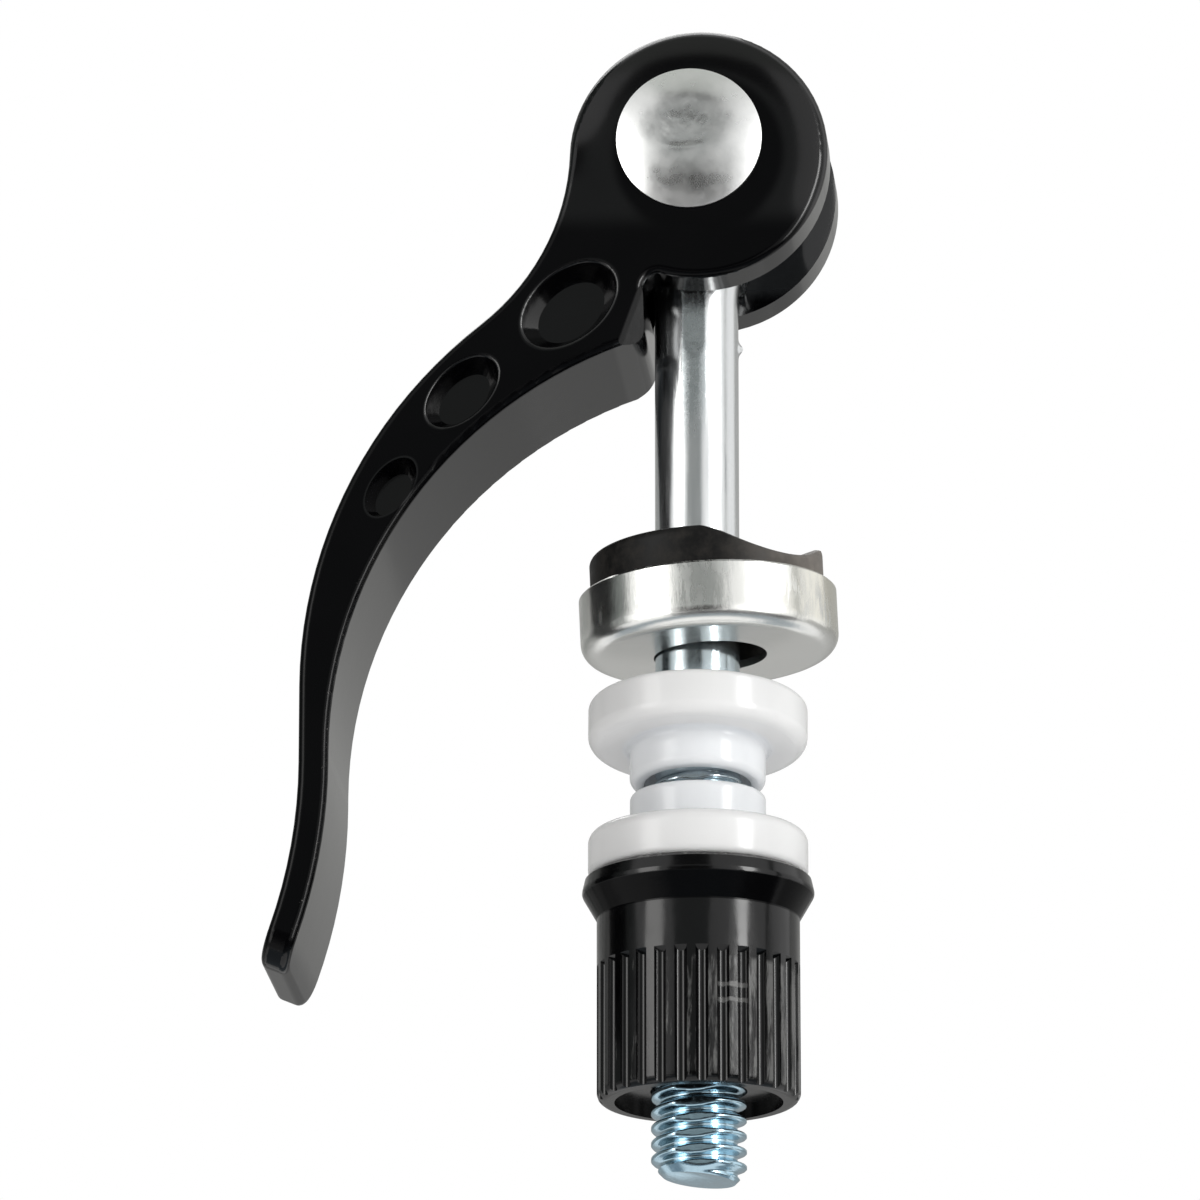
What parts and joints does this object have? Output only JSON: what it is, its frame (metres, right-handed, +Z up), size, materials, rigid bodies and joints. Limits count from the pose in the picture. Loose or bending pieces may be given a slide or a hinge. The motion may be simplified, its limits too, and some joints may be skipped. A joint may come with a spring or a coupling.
{
  "type": "quick release seatpost clamp",
  "caption": "Cam lever on a threaded rod with a grooved saddle in a steel cup, nylon ear bushes and a fluted nut, for clamping a bicycle seat tube's ears.",
  "frame": {"origin": "on the rod's axis, on the face of the lower bush that bears on the frame's ear", "axes": "+Z up the rod from the nut to the lever, +Y along the pivot pin, -X towards the lever's tip"},
  "size_m": [0.0361, 0.0164, 0.074],
  "materials": {
    "lever_paint": "gloss black paint on an aluminium casting",
    "rivet_steel": "bright plated, peened",
    "zinc_steel": "bright zinc plate",
    "saddle_plastic": "dull moulded",
    "cup_steel": "bright plated, pressed",
    "nylon": "white, slightly translucent",
    "nut_black": "gloss black"
  },
  "bodies": {
    "skewer": {"skewer_rod": "zinc_steel"},
    "lever": {"lever": "lever_paint", "pivot_pin": "rivet_steel"},
    "lower_bushing": {"lower_bushing": "nylon"},
    "nut": {"adjusting_nut": "nut_black"},
    "upper_bushing": {"upper_bushing": "nylon"},
    "cup": {"cup_washer": "cup_steel"},
    "saddle": {"cam_saddle": "saddle_plastic"}
  },
  "joints": [
    {"name": "lever_pivot", "type": "hinge", "parent": "skewer", "child": "lever", "pos_m": [0, 0, 0.0441], "axis": [0, 1, 0], "range_deg": [0, 180]},
    {"name": "nut_travel", "type": "slide", "parent": "skewer", "child": "lower_bushing", "axis": [0, 0, 1], "range_m": [-0.004, 0.002]},
    {"name": "nut_turn", "type": "hinge", "parent": "lower_bushing", "child": "nut", "pos_m": [0, 0, -0.0102], "axis": [0, 0, 1], "range_deg": [-1440, 720]},
    {"name": "upper_bushing_slide", "type": "slide", "parent": "lower_bushing", "child": "upper_bushing", "axis": [0, 0, 1], "range_m": [-0.00015, 0.0065]},
    {"name": "cup_slide", "type": "slide", "parent": "upper_bushing", "child": "cup", "axis": [0, 0, 1], "range_m": [-0.0022, 0.0015]},
    {"name": "saddle_turn", "type": "hinge", "parent": "cup", "child": "saddle", "pos_m": [0.00082, 0, 0.01155], "axis": [-0.0436, 0, 0.999], "continuous": true}
  ],
  "couplings": [
    {"joint": "nut_travel", "follows": "nut_turn", "m_per_rad": 0.00015915}
  ]
}
